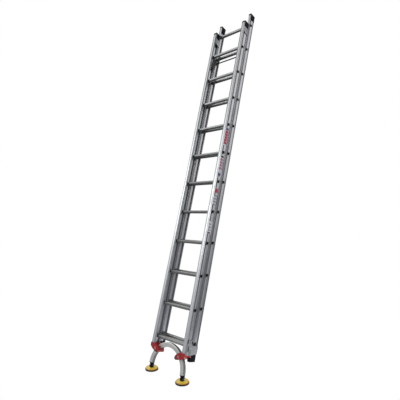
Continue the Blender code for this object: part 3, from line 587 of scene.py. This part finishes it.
def make_guides():
    """Each top guide: plates on both sides of the web with grooved chevron lower edges, and a rear hook."""
    outer_edge = [(-0.0285, GUIDE_LOW + 0.026), (-0.0040, GUIDE_LOW), (0.0285, GUIDE_LOW)]
    inner_edge = [(-0.0255, GUIDE_LOW + 0.028), (0.0000, GUIDE_LOW + 0.008), (0.0275, GUIDE_LOW)]
    plates = (("outer", outer_edge, RIB_OUTER + 0.0003, OUTER - 0.0005),
              ("inner", inner_edge, RIB_INNER - 0.0003, GUIDE_INNER))
    heights = (GUIDE_LOW, GUIDE_HIGH)
    for side, word in SIDES:
        shapes = []
        for place, edge, near, face in plates:
            plate, dark = chevron(side, edge, near, face)
            shapes += plate
            # A black floor that paints the shade in the groove.
            piece(f"guide_groove_{place}_{word}", dark, "guide_plate", "base", material=HOLLOW_SHADE)
        shapes.append(block(span(side, GUIDE_INNER, GUIDE_ARM), (GUIDE_ARM_Y, GUIDE_HOOK_Y[1]), heights))
        shapes.append(block(span(side, GUIDE_ARM, GUIDE_HOOK_END), GUIDE_HOOK_Y, heights))
        for y in GUIDE_BOLT_DEPTHS:
            for near, far in ((OUTER - 0.0006, OUTER + 0.0016), (GUIDE_INNER - 0.0018, GUIDE_INNER + GAP)):
                shapes.append(bolt_head(side, near, far, y, GUIDE_BOLT_HEIGHT, GUIDE_BOLT_RADIUS))
        guide = piece(f"top_guide_{word}_shaped", joined(shapes), "guide_plate", "base", rounding=0.0004)
        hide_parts(f"top_guide_{word}")


CAP_WALL = 0.0012
CAP_RIM_BREADTH = 0.0300
CAP_RIM_DROP, CAP_RIM_FOOT = 0.0008, 0.017     # from the cap's top down to the rim's ends


def make_cap_skirts():
    """The thin walls of each end cap over the outer and front faces of its stile."""
    for section in ("base", "fly"):
        low, high = ladder_box(f"{section}_cap_right")
        depths = (low.y + 0.0006, high.y - 0.0006)
        for side, word in SIDES:
            skirt = block(span(side, OUTER + GAP, OUTER + CAP_WALL), depths, (low.z, high.z))
            piece(f"cap_skirt_{section}_{word}", skirt, "black_plastic", section, rounding=0.0004)
            rim = block(span(side, OUTER - CAP_RIM_BREADTH, OUTER), (low.y - CAP_WALL, low.y - GAP),
                        (high.z - CAP_RIM_FOOT, high.z - CAP_RIM_DROP))
            piece(f"cap_rim_{section}_{word}", rim, "black_plastic", section, rounding=0.0004)


def torsion_spring(side, centre):
    """A spring's curve round an axis along X, with a straight leg up from its last turn."""
    curve = bpy.data.curves.new("spring", "CURVE")
    curve.dimensions = "3D"
    curve.bevel_depth = SPRING_WIRE / 2
    curve.bevel_resolution = 2
    curve.use_fill_caps = True
    spline = curve.splines.new("POLY")
    steps = SPRING_TURNS * SPRING_STEPS
    low, high = SPRING_ENDS
    spline.points.add(steps + 1)
    for i in range(steps + 1):
        angle = 2 * math.pi * i / SPRING_STEPS
        x = side * (low + (high - low) * i / steps)
        y, z = centre.y + SPRING_RADIUS * math.cos(angle), centre.z + SPRING_RADIUS * math.sin(angle)
        spline.points[i].co = (*(LADDER @ Vector((x, y, z))), 1.0)
    leg = Vector((side * high, centre.y + SPRING_RADIUS, centre.z + SPRING_LEG))
    spline.points[steps + 1].co = (*(LADDER @ leg), 1.0)
    return curve


def make_lock_springs():
    """The rung lock's two springs, round its pivot pins."""
    low, high = ladder_box("lock_pivot_pin_right")
    for side, word in SIDES:
        curve = torsion_spring(side, (low + high) / 2)
        curve.materials.append(FINISH["steel"])
        spring = bpy.data.objects.new(f"lock_spring_{word}", curve)
        bpy.context.scene.collection.objects.link(spring)
        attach(spring, "base")


RIVET_HEAD = 0.0018             # how far the rivets stand out of the side plates
PLATE_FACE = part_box("side_plate_right")[1].x - RIVET_HEAD
SLOT_CENTRES = ((-0.0255, 0.272), (0.0315, 0.268))
SLOT_HALF_Y, SLOT_HALF_Z = 0.0045, 0.014
PLATE_RIB_DEPTHS = (-0.0225, -0.0165)
PLATE_RIB_HALF = 0.0016
STUD_CENTRES = ((-0.0070, 0.188), (0.0140, 0.226), (0.0270, 0.222))
STUD_RADIUS = 0.0042
STUD_HEIGHT = 0.0013


def plate_block(name, side, y, z, height, material=None, rounding=0.0):
    """A low block on a side plate's outer face."""
    shape = block(span(side, PLATE_FACE + GAP, PLATE_FACE + height), y, z)
    return piece(name, shape, "guide_plate", "base", LADDER, material, rounding)


def make_plate_details():
    """What is on each side plate: painted shade for its slots and window, a latch pad, ribs and studs."""
    for side, word in SIDES:
        # The slots and the window are black blocks that paint their shade.
        for number, (y, z) in enumerate(SLOT_CENTRES, 1):
            plate_block(f"plate_slot_{word}_{number}", side, (y - SLOT_HALF_Y, y + SLOT_HALF_Y),
                        (z - SLOT_HALF_Z, z + SLOT_HALF_Z), 0.0007, HOLLOW_SHADE)
        plate_block(f"plate_window_{word}", side, (-0.0110, -0.0030), (0.196, 0.244), 0.0006, HOLLOW_SHADE)
        plate_block(f"latch_pad_{word}", side, (0.0040, 0.0290), (0.172, 0.212), 0.0013, LATCH_PAD, 0.0004)
        for number, y in enumerate(PLATE_RIB_DEPTHS, 1):
            plate_block(f"plate_rib_{word}_{number}", side, (y - PLATE_RIB_HALF, y + PLATE_RIB_HALF),
                        (0.176, 0.246), 0.0012, rounding=0.0004)
        studs = [bolt_head(side, PLATE_FACE, PLATE_FACE + STUD_HEIGHT, y, z, STUD_RADIUS)
                 for y, z in STUD_CENTRES]
        piece(f"plate_studs_{word}", joined(studs), "guide_plate", "base", LADDER, STUD, 0.0003)


BRACKET_RIBS = (0.128, 0.143, 0.158, 0.173)
BRACKET_RIB_HALF = 0.0026
BRACKET_RIB_HEIGHTS = (0.126, 0.150)
BRACKET_RIB_DEPTH = 0.0022
GLINT_RIBS = (2, 3)


def make_bracket_ribs():
    """Raised ribs across the front of each red bracket, two in a paler red that paints a glint."""
    front = ladder_box("arc_bracket_right")[0].y
    for side, word in SIDES:
        for number, x in enumerate(BRACKET_RIBS, 1):
            shape = block(span(side, x - BRACKET_RIB_HALF, x + BRACKET_RIB_HALF),
                          (front - BRACKET_RIB_DEPTH, front - GAP), BRACKET_RIB_HEIGHTS)
            material = RIB_GLINT if number in GLINT_RIBS else None
            piece(f"bracket_rib_{word}_{number}", shape, "red_plastic", "base", LADDER, material, 0.0009)


# Stage, light and camera

FLOOR_RADIUS = 1.3
FLOOR_FADE = 0.45
FLOOR_GLOW = 0.74
# The studio's tones by height, 0 below to 1 overhead, and across, 0 on the left wall to 1 on the right one.
# A ramp's own two stops come first, and those between them follow.
HEIGHT_TONES = ((0.0, 0.04), (1.0, 0.70), (0.30, 0.14), (0.44, 0.22), (0.52, 0.55), (0.62, 1.00))
WALL_TONES = ((0.0, 0.74), (1.0, 0.53), (0.50, 0.32), (0.80, 0.52))
STUDIO_STRENGTH = 1.9
SOFTBOX_PLACE, SOFTBOX_TARGET = (-3.3, -3.9, 4.0), (0.0, 0.0, 2.0)
SOFTBOX_SIZE, SOFTBOX_POWER = 2.6, 34.0


def make_stage():
    """A round of plain pale paper under the ladder, which glows and fades into the white behind."""
    shape = bmesh.new()
    bmesh.ops.create_circle(shape, cap_ends=True, segments=96, radius=FLOOR_RADIUS)
    mesh = bpy.data.meshes.new("floor")
    shape.to_mesh(mesh)
    shape.free()
    graph = Graph("floor_paper")
    mottle = graph.noise((2.0, 2.0, 2.0), 3.0)
    graph.feed(graph.shader.inputs["Base Color"],
               graph.mixed(mottle, (0.44, 0.44, 0.44, 1.0), (0.46, 0.46, 0.46, 1.0)))
    graph.shader.inputs["Emission Color"].default_value = (1.0, 1.0, 1.0, 1.0)
    graph.shader.inputs["Emission Strength"].default_value = FLOOR_GLOW
    graph.shader.inputs["Roughness"].default_value = 0.9
    graph.shader.inputs["Specular IOR Level"].default_value = 0.0
    place = graph.add("ShaderNodeTexCoord").outputs["Object"]
    length = graph.add("ShaderNodeVectorMath", {"operation": "LENGTH"})
    graph.feed(length.inputs[0], place)
    graph.feed(graph.shader.inputs["Alpha"],
               graph.ranged(length.outputs["Value"], 1.0, 0.0, FLOOR_FADE, FLOOR_RADIUS))
    mesh.materials.append(graph.material)
    floor = bpy.data.objects.new("floor", mesh)
    bpy.context.scene.collection.objects.link(floor)


def area_light(name, place, target, size, power):
    data = bpy.data.lights.new(name, "AREA")
    data.size = size
    data.energy = power
    lamp = bpy.data.objects.new(name, data)
    lamp.location = place
    lamp.rotation_euler = (Vector(target) - Vector(place)).to_track_quat("-Z", "Y").to_euler()
    bpy.context.scene.collection.objects.link(lamp)


def tones(tree, value, stops):
    """A value from -1 to 1 as a grey read off the stops."""
    spread = tree.nodes.new("ShaderNodeMapRange")
    spread.inputs["From Min"].default_value = -1.0
    tree.links.new(value, spread.inputs["Value"])
    ramp = tree.nodes.new("ShaderNodeValToRGB")
    tree.links.new(spread.outputs[0], ramp.inputs[0])
    elements = ramp.color_ramp.elements
    for number, (where, tone) in enumerate(stops):
        element = elements[number] if number < 2 else elements.new(where)
        element.position = where
        element.color = (tone, tone, tone, 1.0)
    return ramp.outputs[0]


def make_world():
    """White behind the ladder; what lights it is a grey studio, brightest on the left just above eye level."""
    world = bpy.data.worlds.new("studio")
    bpy.context.scene.world = world
    world.use_nodes = True
    tree = world.node_tree
    parts = tree.nodes.new("ShaderNodeSeparateXYZ")
    tree.links.new(tree.nodes.new("ShaderNodeTexCoord").outputs["Generated"], parts.inputs[0])
    product = tree.nodes.new("ShaderNodeMix")
    product.data_type = "RGBA"
    product.blend_type = "MULTIPLY"
    product.inputs[0].default_value = 1.0
    tree.links.new(tones(tree, parts.outputs["X"], WALL_TONES), product.inputs[6])
    tree.links.new(tones(tree, parts.outputs["Z"], HEIGHT_TONES), product.inputs[7])
    walls = tree.nodes["Background"]
    walls.inputs["Strength"].default_value = STUDIO_STRENGTH
    tree.links.new(product.outputs[2], walls.inputs["Color"])
    paper = tree.nodes.new("ShaderNodeBackground")
    paper.inputs["Color"].default_value = (1.0, 1.0, 1.0, 1.0)
    chosen = tree.nodes.new("ShaderNodeMixShader")
    tree.links.new(tree.nodes.new("ShaderNodeLightPath").outputs["Is Camera Ray"], chosen.inputs[0])
    tree.links.new(walls.outputs[0], chosen.inputs[1])
    tree.links.new(paper.outputs[0], chosen.inputs[2])
    tree.links.new(chosen.outputs[0], tree.nodes["World Output"].inputs["Surface"])


CAMERA_PLACE = ARC_CENTRE + Vector((2.375, -2.186, 1.375))
CAMERA_AZIMUTH, CAMERA_PITCH, CAMERA_ROLL = (math.radians(angle) for angle in (42.29, 2.15, 0.42))
CAMERA_LENS, CAMERA_SENSOR = 32.16, 36.0       # millimetres


def make_camera():
    """In front of the ladder on its right, at chest height, looking slightly up."""
    data = bpy.data.cameras.new("camera")
    data.lens = CAMERA_LENS
    data.sensor_width = CAMERA_SENSOR
    camera = bpy.data.objects.new("camera", data)
    camera.location = CAMERA_PLACE
    level = Matrix.Rotation(CAMERA_AZIMUTH, 4, "Z") @ Matrix.Rotation(math.pi / 2 + CAMERA_PITCH, 4, "X")
    camera.rotation_euler = (level @ Matrix.Rotation(CAMERA_ROLL, 4, "Z")).to_euler()
    bpy.context.scene.collection.objects.link(camera)
    bpy.context.scene.camera = camera


make_camera()
make_stage()
make_world()
area_light("front_softbox", SOFTBOX_PLACE, SOFTBOX_TARGET, SOFTBOX_SIZE, SOFTBOX_POWER)
bpy.context.scene.view_settings.view_transform = "Standard"

finish_cad_nodes()
make_rungs()
make_labels()
make_guides()
make_cap_skirts()
make_lock_springs()
make_plate_details()
make_bracket_ribs()
